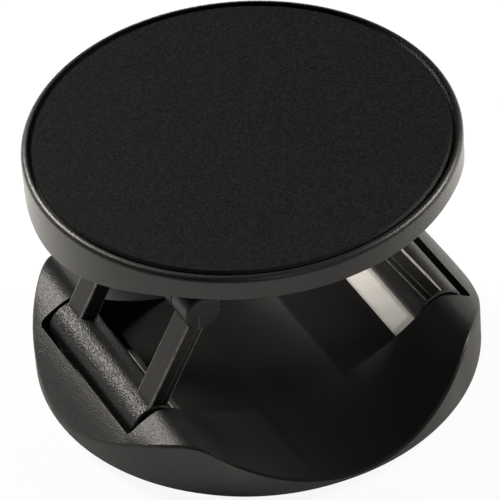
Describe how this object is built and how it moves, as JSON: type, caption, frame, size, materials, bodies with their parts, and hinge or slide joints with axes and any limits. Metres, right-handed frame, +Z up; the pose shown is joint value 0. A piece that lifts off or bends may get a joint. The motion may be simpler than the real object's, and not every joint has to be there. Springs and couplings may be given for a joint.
{
  "type": "phone grip stand",
  "caption": "Round phone grip: domed adhesive base with a finger trough, hinged legs that fold inwards, and a flat round disc that sinks onto the base.",
  "frame": {"origin": "middle of the adhesive pad's underside", "axes": "+X across the two legs, +Y along the hinge pins with the front at -Y, +Z up from the phone towards the disc"},
  "size_m": [0.04, 0.04, 0.0251],
  "materials": {
    "textured_plastic": "black ABS, fine spark-eroded texture",
    "leg_plastic": "black ABS, satin",
    "cap_plastic": "black, soft fine grain",
    "white_foam": "white foam with adhesive",
    "pin_steel": "plain drawn steel"
  },
  "bodies": {
    "base": {"base_body": "textured_plastic", "adhesive_pad": "white_foam"},
    "left_lower": {"left_lower_leg": "leg_plastic", "left_knee_pin": "pin_steel"},
    "left_upper": {"left_upper_leg": "leg_plastic"},
    "disc": {"disc_tray": "textured_plastic", "disc_cap": "cap_plastic", "left_disc_pin": "pin_steel", "right_disc_pin": "pin_steel"},
    "right_lower": {"right_lower_leg": "leg_plastic", "right_knee_pin": "pin_steel"},
    "right_upper": {"right_upper_leg": "leg_plastic"}
  },
  "joints": [
    {"name": "left_base_hinge", "type": "hinge", "parent": "base", "child": "left_lower", "pos_m": [-0.0144, 0, 0.0041], "axis": [0, 1, 0], "range_deg": [0, 54]},
    {"name": "left_knee", "type": "hinge", "parent": "left_lower", "child": "left_upper", "pos_m": [-0.00877, 0, 0.0147], "axis": [0, 1, 0], "range_deg": [-127.8, 0]},
    {"name": "left_disc_hinge", "type": "hinge", "parent": "left_upper", "child": "disc", "pos_m": [-0.00995, 0, 0.0221], "axis": [0, 1, 0], "range_deg": [0, 73.8]},
    {"name": "right_base_hinge", "type": "hinge", "parent": "base", "child": "right_lower", "pos_m": [0.0144, 0, 0.0041], "axis": [0, 1, 0], "range_deg": [-54.1, 0]},
    {"name": "right_knee", "type": "hinge", "parent": "right_lower", "child": "right_upper", "pos_m": [0.00877, 0, 0.0147], "axis": [0, 1, 0], "range_deg": [0, 127.8]}
  ],
  "couplings": [
    {"joint": "left_knee", "follows": "left_base_hinge", "ratio": -2.365},
    {"joint": "left_disc_hinge", "follows": "left_base_hinge", "ratio": 1.365},
    {"joint": "right_base_hinge", "follows": "left_base_hinge", "ratio": -1},
    {"joint": "right_knee", "follows": "left_base_hinge", "ratio": 2.365}
  ]
}
